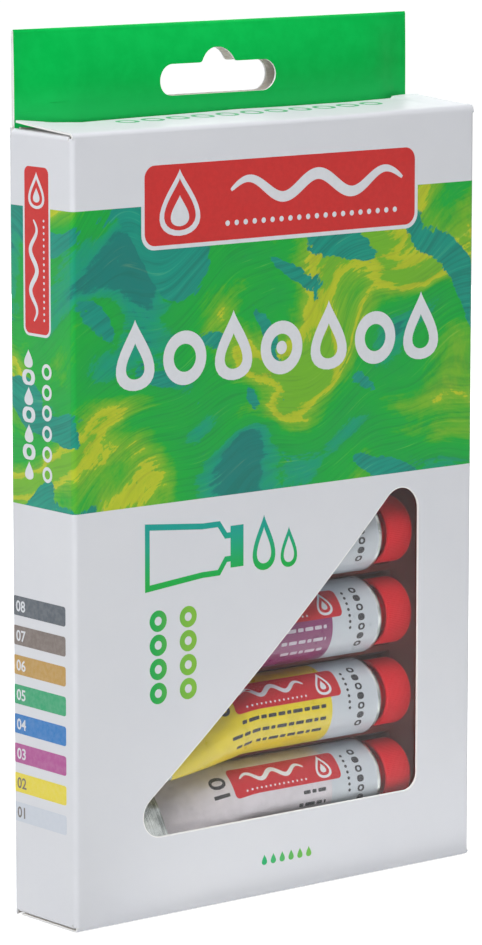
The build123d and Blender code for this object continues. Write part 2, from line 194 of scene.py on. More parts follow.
def brushed_green(tree, place):
    """Broad wet strokes of green, lime, yellow and teal with ragged edges and bristle marks."""
    wander = noise(tree, place, 0.022, 1.0, output="Color")
    offset = add_node(tree, "VectorMath", {0: wander, 1: (0.5,) * 3}, operation="SUBTRACT")
    shift = add_node(tree, "VectorMath", {0: offset.outputs[0], "Scale": 46.0}, operation="SCALE")
    swept = add_node(tree, "VectorMath", {0: place, 1: shift.outputs[0]}, operation="ADD").outputs[0]
    slant = (0.0, radians(24.0), 0.0)
    along = stretched(tree, swept, (0.022, 0.022, 0.05), slant)
    bristles = noise(tree, stretched(tree, swept, (0.05, 0.05, 1.5), slant), 1.0, 3.0, 0.6)
    ragged = noise(tree, stretched(tree, swept, (0.25, 0.25, 0.5), slant), 1.0, 5.0, 0.65)
    patches = noise(tree, along, 1.0, 1.5, 0.45)
    level = maths(tree, "MULTIPLY_ADD", ragged, 0.10, patches)
    level = maths(tree, "MULTIPLY_ADD", bristles, 0.05, level)
    ramp = add_node(tree, "ValToRGB", {"Fac": level})
    stops = (
        (0.00, (0, 112, 104)), (0.440, (0, 122, 112)), (0.450, (0, 150, 122)),
        (0.490, (0, 158, 104)), (0.498, (0, 160, 62)), (0.575, (0, 168, 54)),
        (0.585, (40, 170, 44)), (0.615, (92, 176, 38)), (0.645, (128, 184, 40)),
        (0.652, (190, 200, 40)), (0.680, (176, 194, 36)), (0.690, (112, 180, 38)),
    )
    elements = ramp.color_ramp.elements
    for position, colour in stops[:-2]:
        elements.new(position)
    for element, (position, colour) in zip(elements, stops):
        element.position = position
        element.color = rgb(*colour)
    second = stretched(tree, swept, (0.035, 0.035, 0.085), (0.0, radians(-38.0), 0.0))
    dabs = maths(tree, "MULTIPLY_ADD", ragged, 0.16, noise(tree, second, 1.0, 1.0, 0.4))
    dab_edge = eased(tree, dabs, 0.700, 0.710)
    dab_colour = mixed(tree, bristles, rgb(0, 108, 106), rgb(0, 168, 136))
    paint = mixed(tree, dab_edge, ramp.outputs["Color"], dab_colour)
    dark = eased(tree, bristles, 0.30, 0.52, 0.82, 1.0)
    light = eased(tree, bristles, 0.62, 0.80, 0.0, 0.16)
    worked = mixed(tree, dark, rgb(0, 78, 48), paint)
    return mixed(tree, light, worked, rgb(214, 232, 120))


def white_print(tree, place):
    mottle = noise(tree, place, 0.05, 3.0)
    return mixed(tree, mottle, rgb(226, 227, 231), rgb(219, 221, 227))


def raw_back(tree, place):
    """The unprinted side of the board, grey-beige with short fibres."""
    fibres = noise(tree, stretched(tree, place, (0.6, 0.6, 2.5)), 1.0, 5.0, 0.7)
    return mixed(tree, eased(tree, fibres, 0.35, 0.65), rgb(238, 232, 222), rgb(252, 248, 241))


def finish_board(tree, shader, place, printed, outside, cut, sheen=0.3):
    """Puts the print, the raw back and the white cut edge together on one board."""
    back_or_print = mixed(tree, outside, raw_back(tree, place), printed)
    coloured(tree, shader, mixed(tree, cut, back_or_print, rgb(238, 238, 236)))
    roughened(tree, shader, place, 0.4, 0.36, 0.48)
    shader.inputs["Specular IOR Level"].default_value = sheen
    shader.inputs["Coat Weight"].default_value = 0.05
    shader.inputs["Coat Roughness"].default_value = 0.25
    waves = noise(tree, place, 0.045, 1.0)
    grain = noise(tree, place, 2.2, 2.0)
    relief(tree, shader, maths(tree, "MULTIPLY_ADD", grain, 0.012, waves), 0.35 * MM)


def wall_layers(tree, place):
    """How far a point lies under the carton's rounded outside, as outside and cut factors."""
    axes = add_node(tree, "SeparateXYZ", {0: place})
    over_x = maths(tree, "SUBTRACT", maths(tree, "ABSOLUTE", axes.outputs[0]), SIDE - FOLD_RADIUS)
    over_y = maths(tree, "SUBTRACT", maths(tree, "ABSOLUTE", axes.outputs[1]),
                   CARTON_DEPTH / 2 - FOLD_RADIUS)
    corner_x = maths(tree, "MAXIMUM", over_x, 0.0)
    corner_y = maths(tree, "MAXIMUM", over_y, 0.0)
    square = maths(tree, "MULTIPLY", corner_x, corner_x)
    corner = maths(tree, "SQRT", maths(tree, "MULTIPLY_ADD", corner_y, corner_y, square))
    flat = maths(tree, "MINIMUM", maths(tree, "MAXIMUM", over_x, over_y), 0.0)
    depth = maths(tree, "SUBTRACT", FOLD_RADIUS, maths(tree, "ADD", corner, flat))
    outside = maths(tree, "LESS_THAN", depth, BOARD / 2)
    from_skin = maths(tree, "MINIMUM", depth, maths(tree, "SUBTRACT", BOARD, depth))
    return outside, maths(tree, "GREATER_THAN", from_skin, 0.05)


def wall_print(tree, place):
    height = add_node(tree, "SeparateXYZ", {0: place}).outputs[2]
    above = maths(tree, "GREATER_THAN", height, BAND_LOW)
    inside = maths(tree, "MULTIPLY", above, maths(tree, "LESS_THAN", height, BAND_HIGH))
    return mixed(tree, inside, white_print(tree, place), brushed_green(tree, place))


wall_board, tree, shader, place, normal = new_finish("printed_wall_board")
finish_board(tree, shader, place, wall_print(tree, place), *wall_layers(tree, place))
for name in ("front_panel", "back_panel", "left_side_panel", "right_side_panel"):
    nodes[name].material_slots[0].material = wall_board

inside_board, tree, shader, place, normal = new_finish("raw_inside_board")
coloured(tree, shader, raw_back(tree, place))
roughened(tree, shader, place, 0.6, 0.7, 0.85)
relief(tree, shader, noise(tree, place, 1.6, 4.0), 0.02 * MM)
nodes["glue_flap"].material_slots[0].material = inside_board

cut_board, tree, shader, place, normal = new_finish("white_cut_board")
coloured(tree, shader, mixed(tree, noise(tree, place, 3.0, 3.0), rgb(240, 240, 238), rgb(252, 252, 251)))
roughened(tree, shader, place, 1.5, 0.6, 0.8)

# ---------------------------------------------------------------------------------------
# Flaps and bottom lid: the same board, creased and folded in. The two lids end in tuck flaps,
# and short side flaps lie under each lid. Only their outer faces carry the white print.
# ---------------------------------------------------------------------------------------


def part_of(tree, vector, axis):
    return add_node(tree, "SeparateXYZ", {0: vector}).outputs[axis]


def folded_board(name, upward, end_axis, flat_axis, bend):
    """Board whose print faces upward, and is cut where it ends along either other axis.

    The bend is an axis and a size: the board curves where it lies further out than that.
    """
    material, tree, shader, place, normal = new_finish(name)
    side_of = maths(tree, "SIGN", part_of(tree, place, bend[0]))
    leaning = maths(tree, "MULTIPLY", part_of(tree, normal, bend[0]), side_of)
    facing = maths(tree, "MULTIPLY", part_of(tree, normal, flat_axis), upward)
    facing = maths(tree, "MULTIPLY_ADD", leaning, 0.5 if bend[2] else 0.0, facing)
    outside = maths(tree, "GREATER_THAN", facing, 0.0)
    ends = maths(tree, "ABSOLUTE", part_of(tree, normal, end_axis))
    tilted = maths(tree, "ABSOLUTE", part_of(tree, normal, flat_axis))
    reach = maths(tree, "ABSOLUTE", maths(tree, "SUBTRACT", part_of(tree, place, bend[0]), bend[3]))
    rim = maths(tree, "MULTIPLY", maths(tree, "LESS_THAN", tilted, 0.5),
                maths(tree, "LESS_THAN", reach, bend[1]))
    cut = maths(tree, "MAXIMUM", maths(tree, "GREATER_THAN", ends, 0.7), rim)
    finish_board(tree, shader, place, white_print(tree, place), outside, cut)
    return material


flap_board_top = folded_board("folded_flap_top", 1.0, 1, 2, (0, 56.3, True, 0.0))
flap_board_bottom = folded_board("folded_flap_bottom", -1.0, 1, 2, (0, 56.3, True, 0.0))
tuck_board = folded_board("folded_tuck", 1.0, 0, 1, (2, 86.3, False, 87.5))
bottom_board = folded_board("folded_bottom_lid", -1.0, 0, 2, (1, 22.0, True, 11.5))
nodes["bottom_tuck_flap"].material_slots[0].material = tuck_board
nodes["bottom_lid"].material_slots[0].material = bottom_board

# ---------------------------------------------------------------------------------------
# Top lid and side flaps: the wall's board carried over the top. The lid was opened and shut
# again, so it has sprung up and its rear edge waves between the two slits that lock it.
# ---------------------------------------------------------------------------------------
LID_REAR_LIFT = (
    (-56.1, 0.50), (-48.4, -0.28), (-40.4, -0.74), (-26.8, -0.44), (-5.1, -0.12), (4.0, 0.06),
    (15.3, 0.0), (35.9, 0.05), (49.0, 0.32), (49.7, 0.70), (56.5, 1.0),
)
LID_CREASE_LIFT = ((0.0, 0.0), (20.0, 0.15), (36.0, 0.45), (56.5, 0.60))
SHARP = radians(35.0)


def merged_copy(node):
    """The solid's triangles joined into one surface, for a piece that bends it."""
    shape = bmesh.new()
    shape.from_mesh(node.data)
    bmesh.ops.remove_doubles(shape, verts=shape.verts, dist=0.004 * MM)
    return shape


def divided(shape, axis, places):
    """Cuts the surface across one axis at each of the places, in millimetres."""
    for place in places:
        along = Vector((0.0, 0.0, 0.0))
        along[axis] = 1.0
        every_part = shape.verts[:] + shape.edges[:] + shape.faces[:]
        bmesh.ops.bisect_plane(shape, geom=every_part, plane_co=along * place * MM, plane_no=along)


def shaded(shape):
    """Smooth faces that still meet sharply at cut edges."""
    for face in shape.faces:
        face.smooth = True
    for edge in shape.edges:
        edge.smooth = len(edge.link_faces) == 2 and edge.calc_face_angle(0.0) < SHARP


def geometry_node(tree, kind, inputs, **settings):
    made = tree.nodes.new("GeometryNode" + kind)
    for key, value in settings.items():
        setattr(made, key, value)
    for key, value in inputs.items():
        if isinstance(value, bpy.types.NodeSocket):
            tree.links.new(value, made.inputs[key])
        else:
            made.inputs[key].default_value = value
    return made


def geometry_tree(name, sockets):
    """A Geometry Nodes tree with its named inputs, and the nodes at its two ends."""
    tree = bpy.data.node_groups.new(name, "GeometryNodeTree")
    for socket_name, kind in (("Geometry", "NodeSocketGeometry"), *sockets):
        tree.interface.new_socket(socket_name, in_out="INPUT", socket_type=kind)
    tree.interface.new_socket("Geometry", in_out="OUTPUT", socket_type="NodeSocketGeometry")
    return tree, tree.nodes.new("NodeGroupInput"), tree.nodes.new("NodeGroupOutput")


def grown(piece, tree, values):
    """Runs a tree on a piece and keeps the plain mesh that comes out."""
    modifier = piece.modifiers.new("made", "NODES")
    modifier.node_group = tree
    for item in tree.interface.items_tree:
        if item.in_out == "INPUT" and item.name in values:
            modifier[item.identifier] = values[item.name]
    graph = bpy.context.evaluated_depsgraph_get()
    made = bpy.data.meshes.new_from_object(piece.evaluated_get(graph), depsgraph=graph)
    piece.modifiers.clear()
    piece.data = made
    made.name = piece.name


def piece_from(shape, name, materials, body, slot, *replaced, made_by=None):
    """Turns a surface into a piece that rides on its body, run through a tree where it has one."""
    mesh = bpy.data.meshes.new(name)
    shape.to_mesh(mesh)
    shape.free()
    for material in materials:
        mesh.materials.append(material)
    piece = bpy.data.objects.new(name, mesh)
    bpy.context.scene.collection.objects.link(piece)
    if made_by:
        grown(piece, *made_by)
    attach(piece, body)
    if replaced:
        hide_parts(*replaced)
    return piece


for end_name, board, upward in (("top", flap_board_top, 1), ("bottom", flap_board_bottom, -1)):
    for side_name in ("left", "right"):
        node_name = end_name + "_flap_" + side_name
        flap = merged_copy(nodes[node_name])
        for corner in flap.verts:
            x, y, z = abs(corner.co.x) / MM, corner.co.y / MM, corner.co.z / MM
            if x > 56.45 and y > 6.0:
                corner.co.y = 10.3 * MM
            if end_name == "top":
                near_rim = min(max((x - 52.0) / 4.4, 0.0), 1.0)
                risen = min(max((z - 173.3) / 1.1, 0.0), 1.0)
                corner.co.z += 0.018 * max(corner.co.y / MM + 10.0, 0.0) * near_rim * risen * MM
        shaded(flap)
        piece_from(flap, node_name + "_board", [board], end_name + "_" + side_name + "_flap",
                   "printed_board", node_name)

lid = merged_copy(nodes["top_lid"])
divided(lid, 0, [*np.arange(-56.0, 57.0, 4.0), 49.0, 49.35, 49.7])
divided(lid, 1, np.arange(-9.0, 8.6, 2.2))


def lid_lift(x, y):
    """How far the lid stands above its flat shape, in millimetres."""
    back_share = min(max((y - FRONT) / 20.5, 0.0), 1.0) ** 2
    rear = float(np.interp(x, *zip(*LID_REAR_LIFT)))
    front = float(np.interp(x, *zip(*LID_CREASE_LIFT)))
    return rear * back_share + front * (1.0 - back_share)


for corner in lid.verts:
    above_wall = min(max((corner.co.z / MM - CARTON_HEIGHT) / FOLD_RADIUS + 1.0, 0.0), 1.0)
    corner.co.z += lid_lift(corner.co.x / MM, corner.co.y / MM) * above_wall * MM
lid.normal_update()
crease = Vector((0.0, (FRONT + FOLD_RADIUS) * MM, (CARTON_HEIGHT - FOLD_RADIUS) * MM))
for face in lid.faces:
    centre = face.calc_center_median()
    from_crease = Vector((0.0, centre.y - crease.y, centre.z - crease.z))
    bent = centre.y < crease.y and abs(face.normal.x) < 0.7
    upward = face.normal.dot(from_crease.normalized()) if bent else face.normal.z
    face.material_index = 0 if upward > 0.5 else 1 if upward < -0.5 else 2
shaded(lid)
lid_board, tree, shader, place, normal = new_finish("printed_lid_board")
finish_board(tree, shader, place, white_print(tree, place), 1.0, 0.0, 0.1)
roughened(tree, shader, place, 0.4, 0.52, 0.62)
piece_from(lid, "top_lid_board", [lid_board, inside_board, cut_board], "top_lid",
           "printed_board", "top_lid")

tuck = merged_copy(nodes["top_tuck_flap"])
divided(tuck, 0, [*np.arange(-56.0, 57.0, 4.0), 49.0, 49.35, 49.7])
divided(tuck, 2, (165.0, 167.0, 169.0, 171.0, 173.0))
for corner in tuck.verts:
    fading = min(max((corner.co.z / MM - 165.0) / 10.0, 0.0), 1.0)
    corner.co.z += lid_lift(corner.co.x / MM, 8.5) * fading * MM
tuck.normal_update()
for face in tuck.faces:
    centre = face.calc_center_median()
    bent = centre.z > 0.1752 and abs(face.normal.x) < 0.7
    outward = (face.normal.y + face.normal.z) * 0.71 if bent else face.normal.y
    face.material_index = 0 if outward > 0.3 else 1 if outward < -0.3 else 2
shaded(tuck)
piece_from(tuck, "top_tuck_board", [lid_board, inside_board, cut_board], "top_tuck",
           "printed_board", "top_tuck_flap")

# ---------------------------------------------------------------------------------------
# Hang tab: two plies of the green board, folded over at the top and glued at the ends only,
# so the front one stands away from the rear one round the punched slot.
# ---------------------------------------------------------------------------------------
TAB_FOOT = 174.0
TAB_TOP = 196.0
TAB_FOLD = 0.85


def green_print(tree, place):
    """A flat of green ink, faintly mottled, with painted light from the white lid's bounce that makes it
    lighter towards the lid.
    """
    mottle = noise(tree, place, 0.25, 4.0, 0.6)
    ink = mixed(tree, eased(tree, mottle, 0.3, 0.7), rgb(0, 184, 76), rgb(6, 192, 82))
    # Painted light: the bounce from the white lid, mixed in as a lighter green near the tab's foot.
    low = eased(tree, part_of(tree, place, 2), 185.0, 175.0, 0.0, 0.8)
    return mixed(tree, low, ink, rgb(36, 204, 102))


green_board, tree, shader, place, normal = new_finish("green_tab_board")
finish_board(tree, shader, place, green_print(tree, place), 1.0, 0.0, 0.06)

ply = merged_copy(nodes["hang_tab_front_ply"])
divided(ply, 0, np.arange(-56.0, 57.0, 4.0))
divided(ply, 2, np.arange(TAB_FOOT + 2.0, TAB_TOP - 1.0, 2.0))
fold = Vector((0.0, (CARTON_DEPTH / 2 - TAB_FOLD) * MM, (TAB_TOP - TAB_FOLD) * MM))
for face in ply.faces:
    centre = face.calc_center_median()
    outward = -face.normal.y
    if centre.z > fold.z and abs(face.normal.x) < 0.7:
        from_fold = Vector((0.0, centre.y - fold.y, centre.z - fold.z))
        outward = face.normal.dot(from_fold.normalized())
    face.material_index = 0 if outward > 0.5 else 1 if outward < -0.5 else 2
middle = (TAB_FOOT + TAB_TOP) / 2
for corner in ply.verts:
    across = corner.co.x / MM / SIDE
    upward = (corner.co.z / MM - middle) / (TAB_TOP - TAB_FOOT) * 2
    loose = min(max(11.0 - corner.co.y / MM, 0.0), 1.0)
    bow = max(0.0, 1.0 - upward ** 2)
    glued = min(max((abs(across) - 0.78) / 0.16, 0.0), 1.0)
    glued = glued * glued * (3.0 - 2.0 * glued)
    forward = (1.2 - 1.3 * across ** 2) * bow * (1.0 - glued) - (0.72 + 1.2 * bow) * glued
    corner.co.y -= forward * loose * MM
ply.normal_update()
shaded(ply)
piece_from(ply, "hang_tab_front_board", [green_board, inside_board, cut_board], "carton",
           "green_board", "hang_tab_front_ply")

rear_board, tree, shader, place, normal = new_finish("green_tab_rear_board")
outside = maths(tree, "GREATER_THAN", part_of(tree, place, 1), CARTON_DEPTH / 2 - BOARD / 2)
cut = maths(tree, "LESS_THAN", maths(tree, "ABSOLUTE", part_of(tree, normal, 1)), 0.5)
finish_board(tree, shader, place, green_print(tree, place), outside, cut, 0.12)
nodes["hang_tab_rear_ply"].material_slots[0].material = rear_board

# ---------------------------------------------------------------------------------------
# Window edge: the die leaves the board's white core bare round the window, with a fine lip of
# pressed fibres that catches the light.
# ---------------------------------------------------------------------------------------
rim = merged_copy(nodes["front_panel"])
outer_faces = []
for face in rim.faces:
    centre = face.calc_center_median() / MM
    in_window = abs(centre.x) < 50.0 and 17.0 < centre.z < 99.0
    if not (in_window and abs(face.normal.y) < 0.3):
        outer_faces.append(face)
bmesh.ops.delete(rim, geom=outer_faces, context="FACES")
rim.normal_update()
bmesh.ops.solidify(rim, geom=rim.faces[:], thickness=-0.24 * MM)
shaded(rim)
piece_from(rim, "window_cut_edge", [cut_board], "carton", "printed_board")

# ---------------------------------------------------------------------------------------
# Window film: a clear sheet glued inside the front panel, behind the cut window. It shows
# only as a thin gloss with a little dust and a few rubbed specks.
# ---------------------------------------------------------------------------------------
clear_film, tree, shader, place, normal = new_finish("clear_window_film")
dust = noise(tree, place, 1.1, 5.0, 0.75)
specks = eased(tree, dust, 0.70, 0.74, 0.0, 0.16)
gloss = add_node(tree, "Fresnel", {"IOR": 1.45}).outputs[0]
tree.links.new(maths(tree, "MULTIPLY_ADD", gloss, 0.10, specks), shader.inputs["Alpha"])
coloured(tree, shader, mixed(tree, dust, rgb(236, 238, 240), rgb(250, 251, 252)))
shader.inputs["Metallic"].default_value = 1.0
roughened(tree, shader, place, 0.1, 0.05, 0.12)
relief(tree, shader, noise(tree, place, 0.06, 1.0), 0.3 * MM)
nodes["window_film"].material_slots[0].material = clear_film

# ---------------------------------------------------------------------------------------
# Tray: one sheet of dark brown plastic drawn down over a mould, with a round pocket for each
# tube and cap, and one wide pocket for all the folded tails.
# ---------------------------------------------------------------------------------------
TUBE_RADIUS = 8.75
TUBE_Y = -1.05
TUBE_Z = [20.65 + 19.1 * place_up for place_up in range(8)]
TRAY_FACE = 0.95
TRAY_WALL = 0.4
POCKET_RADIUS = 9.05
POCKET_DEPTH = TUBE_Y + POCKET_RADIUS - TRAY_FACE
DRAFT = 0.7
TRAY_SIDE = 56.3
TRAY_LOW = 1.32
TRAY_HIGH = 173.68
SKIRT_LOW = 15.3
SKIRT_HIGH = 159.7
SKIRT_BACK = 10.75


def soft_step(value, start, end):
    share = np.clip((value - start) / (end - start), 0.0, 1.0)
    return share * share * (3.0 - 2.0 * share)


half_pocket = sqrt(POCKET_RADIUS ** 2 - (TRAY_FACE - TUBE_Y) ** 2)
open_angle = np.arcsin(half_pocket / POCKET_RADIUS)
rows = {TRAY_LOW, 4.0, 7.5, 8.1, 8.3, 8.6, 8.8, 166.2, 166.4, 166.7, 166.9, 167.5, 171.0}
rows |= {TRAY_HIGH, SKIRT_LOW, SKIRT_HIGH}
for level in TUBE_Z:
    rows |= {level + POCKET_RADIUS * sin(turn) for turn in np.linspace(-open_angle, open_angle, 33)}
    rows |= {level + shift for shift in (-9.4, -9.25, -9.1, -8.95, 8.95, 9.1, 9.25, 9.4)}
rows = np.array(sorted(rows))
columns = np.array(sorted(
    {-TRAY_SIDE, -52.0, -47.3, 43.8, 45.0, 49.0, 53.0, TRAY_SIDE}
    | set(np.linspace(-47.05, -46.3, 6)) | set(np.linspace(-44.0, -6.0, 14))
    | set(np.linspace(-5.1, -4.2, 7)) | set(np.linspace(-1.0, 40.0, 16))
    | set(np.linspace(42.75, 43.55, 6))
))
wide, high = np.meshgrid(columns, rows, indexing="ij")
from_tube = np.min(np.abs(high[..., None] - np.array(TUBE_Z)), axis=2)
round_pocket = np.sqrt(np.maximum(POCKET_RADIUS ** 2 - from_tube ** 2, 0.0)) + TUBE_Y - TRAY_FACE
blunt = 0.35
round_pocket = np.where(round_pocket > 0.0, np.sqrt(round_pocket ** 2 + blunt ** 2) - blunt, 0.0)
round_share = soft_step(wide, -6.0, -5.0) * (1.0 - soft_step(wide, 42.8, 42.8 + DRAFT))
tail_share = soft_step(wide, -46.3 - DRAFT, -46.3) * (1.0 - soft_step(wide, -5.05, -4.3))
tail_share = tail_share * soft_step(high, 8.15, 8.8) * (1.0 - soft_step(high, 166.2, 166.85))
deep = TRAY_FACE + np.maximum(round_pocket * round_share, POCKET_DEPTH * tail_share)

tray_shape = bmesh.new()
grid = [
    [tray_shape.verts.new((x * MM, y * MM, z * MM)) for x, y, z in zip(*line)]
    for line in zip(wide, deep, high)
]
for left_line, right_line in zip(grid, grid[1:]):
    for row in range(len(rows) - 1):
        tray_shape.faces.new((left_line[row], right_line[row], right_line[row + 1], left_line[row + 1]))
skirt_rows = [row for row, level in enumerate(rows) if SKIRT_LOW <= level <= SKIRT_HIGH]
for line, way in ((grid[0], 1), (grid[-1], -1)):
    before = [line[row] for row in skirt_rows]
    for back in (1.6, 4.0, 7.5, SKIRT_BACK):
        after = [
            tray_shape.verts.new((corner.co.x, back * MM, corner.co.z)) for corner in before
        ]
        for row in range(len(skirt_rows) - 1):
            around = [before[row], before[row + 1], after[row + 1], after[row]]
            tray_shape.faces.new(around[::way])
        before = after
tray_shape.normal_update()
shaded(tray_shape)

tray_plastic, tree, shader, place, normal = new_finish("brown_tray_plastic")
coloured(tree, shader, mixed(tree, noise(tree, place, 0.3, 3.0), rgb(150, 80, 70), rgb(170, 98, 88)))
roughened(tree, shader, place, 0.8, 0.30, 0.42)
shader.inputs["Specular IOR Level"].default_value = 0.07
relief(tree, shader, noise(tree, place, 0.12, 2.0), 0.12 * MM)
tray = piece_from(tray_shape, "formed_tray", [tray_plastic], "carton", "tray_plastic", "tray")
wall = tray.modifiers.new("wall", "SOLIDIFY")
wall.thickness = TRAY_WALL * MM
wall.offset = -1.0
wall.use_even_offset = False

# ---------------------------------------------------------------------------------------
# Tubes: drawn aluminium with a printed skin, round at the shoulder and pressed flat at the
# tail, where the open end is folded over twice. The neck has a coarse rolled thread.
# ---------------------------------------------------------------------------------------
TAPER_START = -5.0
CRIMP_START = -42.0
TAIL_END = -46.0
CRIMP_HALF = 0.7
SLANT = radians(-36.0)
AROUND = 96
FLAT_HALF = TUBE_RADIUS * pi / 2


def tube_section(x):
    """Half width, half thickness and squareness of a tube's outside at x."""
    share = min(max((TAPER_START - x) / (TAPER_START - CRIMP_START), 0.0), 1.0)
    thick = TUBE_RADIUS - (TUBE_RADIUS - CRIMP_HALF) * share
    wide = FLAT_HALF - (FLAT_HALF - TUBE_RADIUS) * (thick / TUBE_RADIUS) ** 1.6
    square = 2.0 + 2.6 * max(0.0, share - 0.75) * 4
    return wide, thick, square


def tube_point(x, turn, level, proud=0.0):
    """A point on a tube, where a turn of 0 faces the window and a quarter turn is its top."""
    wide, thick, square = tube_section(x)
    wide += proud
    thick += proud
    angle = turn + SLANT
    across = abs(sin(angle)) ** (2 / square) * wide * (1 if sin(angle) >= 0 else -1)
    outward = abs(cos(angle)) ** (2 / square) * thick * (1 if cos(angle) >= 0 else -1)
    y = -across * sin(SLANT) - outward * cos(SLANT)
    z = across * cos(SLANT) - outward * sin(SLANT)
    return (x * MM, (TUBE_Y + y) * MM, (level + z) * MM)


def ring_point(x, radius, turn, level):
    return (x * MM, (TUBE_Y - radius * cos(turn)) * MM, (level + radius * sin(turn)) * MM)


body_stations = [TAIL_END, -45.7, -44.9, -44.7, -44.5, -43.6, -43.4, -43.2, -42.3, CRIMP_START]
body_stations += list(np.linspace(-40.5, -6.0, 22)) + list(np.linspace(-4.0, 30.0, 18))
crimp_dip = {-45.7: 0.0, -44.7: -0.22, -43.4: -0.22, TAIL_END: -0.12, CRIMP_START: -0.15}
shoulder_rings = [
    (30.5, 8.75), (30.62, 8.8), (31.0, 8.84), (31.3, 8.83), (31.6, 8.72), (31.85, 8.5),
    (32.05, 8.2), (32.5, 7.4), (33.3, 6.1), (33.95, 4.95), (34.1, 4.4),
]
neck_stations = list(np.linspace(34.2, 40.5, 32))
mouth_rings = [(40.7, 3.9), (40.8, 3.6), (40.8, 2.4), (40.6, 2.2), (33.5, 2.2)]
turns = np.linspace(-pi, pi, AROUND + 1)


def tube_shape_at(level):
    """The whole tube as one closed surface, with its printed skin's map."""
    shape = bmesh.new()
    chart = shape.loops.layers.uv.new("skin")
    rings = []
    for x in body_stations:
        dip = crimp_dip.get(x, 0.0)
        rings.append((x, [shape.verts.new(tube_point(x, turn, level, dip)) for turn in turns[:-1]]))
    for x, radius in shoulder_rings:
        rings.append((x, [shape.verts.new(ring_point(x, radius, turn, level)) for turn in turns[:-1]]))
    for x in neck_stations:
        ring = []
        for turn in turns[:-1]:
            rise = 0.5 + 0.5 * cos(2 * pi * (x / 1.5) - turn)
            ring.append(shape.verts.new(ring_point(x, 3.66 + 0.34 * rise, turn, level)))
        rings.append((x, ring))
    for x, radius in mouth_rings:
        rings.append((x, [shape.verts.new(ring_point(x, radius, turn, level)) for turn in turns[:-1]]))
    for (x_before, before), (x_after, after) in zip(rings, rings[1:]):
        for step in range(AROUND):
            beside = (step + 1) % AROUND
            face = shape.faces.new((before[step], after[step], after[beside], before[beside]))
            spots = ((x_before, step), (x_after, step), (x_after, step + 1), (x_before, step + 1))
            for loop, (x, spot) in zip(face.loops, spots):
                loop[chart].uv = (x, turns[spot] * TUBE_RADIUS)
    tail_ring = rings[0][1]
    for step in range(AROUND // 2 - 1):
        shape.faces.new((
            tail_ring[step + 1], tail_ring[AROUND - 2 - step], tail_ring[AROUND - 1 - step],
            tail_ring[step],
        ))
    shape.faces.new(rings[-1][1])
    bmesh.ops.recalc_face_normals(shape, faces=shape.faces)
    shaded(shape)
    return shape


LABEL_START = -28.8
LABEL_END = 30.65
FIELD_END = 17.0


def bare_metal(tree, place, around):
    """Drawn aluminium with fine lines round the tube, and large dark and bright clouds in its colour
    that are painted reflections of the surroundings.
    """
    lines = noise(tree, stretched(tree, around, (3.0, 0.03, 0.03)), 1.0, 4.0, 0.6)
    # Painted reflection: the broad dark and bright clouds stand for surroundings mirrored in the creased
    # tail and the shoulder.
    painted_reflection_clouds = noise(tree, place, 0.25, 3.0)
    level = maths(tree, "MULTIPLY_ADD", lines, 0.4, maths(tree, "MULTIPLY", painted_reflection_clouds, 0.6))
    return mixed(tree, eased(tree, level, 0.3, 0.7), rgb(78, 84, 82), rgb(214, 219, 218))


def printed_skin(name, field):
    """The lacquered label on bare metal: a coloured field and a pale end by the shoulder."""
    material, tree, shader, place, normal = new_finish(name)
    skin = add_node(tree, "UVMap", {}, uv_map="skin").outputs[0]
    along = part_of(tree, skin, 0)
    start = maths(tree, "GREATER_THAN", along, LABEL_START)
    label = maths(tree, "MULTIPLY", start, maths(tree, "LESS_THAN", along, LABEL_END))
    ragged = maths(tree, "MULTIPLY_ADD", noise(tree, place, 4.0, 2.0), 0.12, along)
    in_field = maths(tree, "LESS_THAN", ragged, FIELD_END + 0.06)
    mottle = noise(tree, place, 0.35, 4.0, 0.6)
    pale = mixed(tree, mottle, rgb(188, 196, 204), rgb(202, 208, 214))
    deeper = tuple(channel * 0.88 for channel in field[:3]) + (1.0,)
    ink = mixed(tree, eased(tree, mottle, 0.3, 0.7), deeper, field)
    printed = mixed(tree, in_field, pale, ink)
    coloured(tree, shader, mixed(tree, label, bare_metal(tree, place, skin), printed))
    tree.links.new(maths(tree, "SUBTRACT", 1.0, label), shader.inputs["Metallic"])
    tree.links.new(eased(tree, mottle, 0.3, 0.7, 0.27, 0.36), shader.inputs["Roughness"])
    shader.inputs["Coat Weight"].default_value = 0.15
    shader.inputs["Coat Roughness"].default_value = 0.15
    dents = noise(tree, stretched(tree, place, (0.05, 0.14, 0.14)), 1.0, 2.0, 0.55)
    fine = noise(tree, place, 0.9, 3.0)
    relief(tree, shader, maths(tree, "MULTIPLY_ADD", fine, 0.03, dents), 0.9 * MM)
    return material


TUBE_COLOURS = (
    ("white", (214, 208, 214)), ("yellow", (230, 208, 18)), ("magenta", (128, 30, 98)),
    ("blue", (18, 92, 176)), ("green", (24, 142, 84)), ("ochre", (198, 150, 62)),
    ("brown", (104, 72, 56)), ("black", (52, 56, 62)),
)
for (shade, ink), level in zip(TUBE_COLOURS, TUBE_Z):
    skin = printed_skin("tube_skin_" + shade, rgb(*ink))
    piece_from(tube_shape_at(level), "tube_skin_" + shade, [skin], "carton", "tube_metal",
               "tube_" + shade)

# ---------------------------------------------------------------------------------------
# Paint: the gouache that fills each tube, smooth and moist, seen only in an open neck.
# ---------------------------------------------------------------------------------------
PAINTS = (
    (236, 236, 232), (238, 214, 30), (150, 30, 110), (16, 70, 160), (16, 120, 66),
    (184, 128, 48), (92, 56, 38), (30, 32, 36),
)
for (shade, _), ink in zip(TUBE_COLOURS, PAINTS):
    gouache, tree, shader, place, normal = new_finish("moist_gouache_" + shade)
    streaks = noise(tree, place, 0.8, 4.0, 0.6)
    darker = tuple(channel * 0.8 for channel in rgb(*ink)[:3]) + (1.0,)
    coloured(tree, shader, mixed(tree, streaks, darker, rgb(*ink)))
    roughened(tree, shader, place, 0.7, 0.3, 0.5)
    relief(tree, shader, streaks, 0.15 * MM)
    nodes["paint_" + shade].material_slots[0].material = gouache

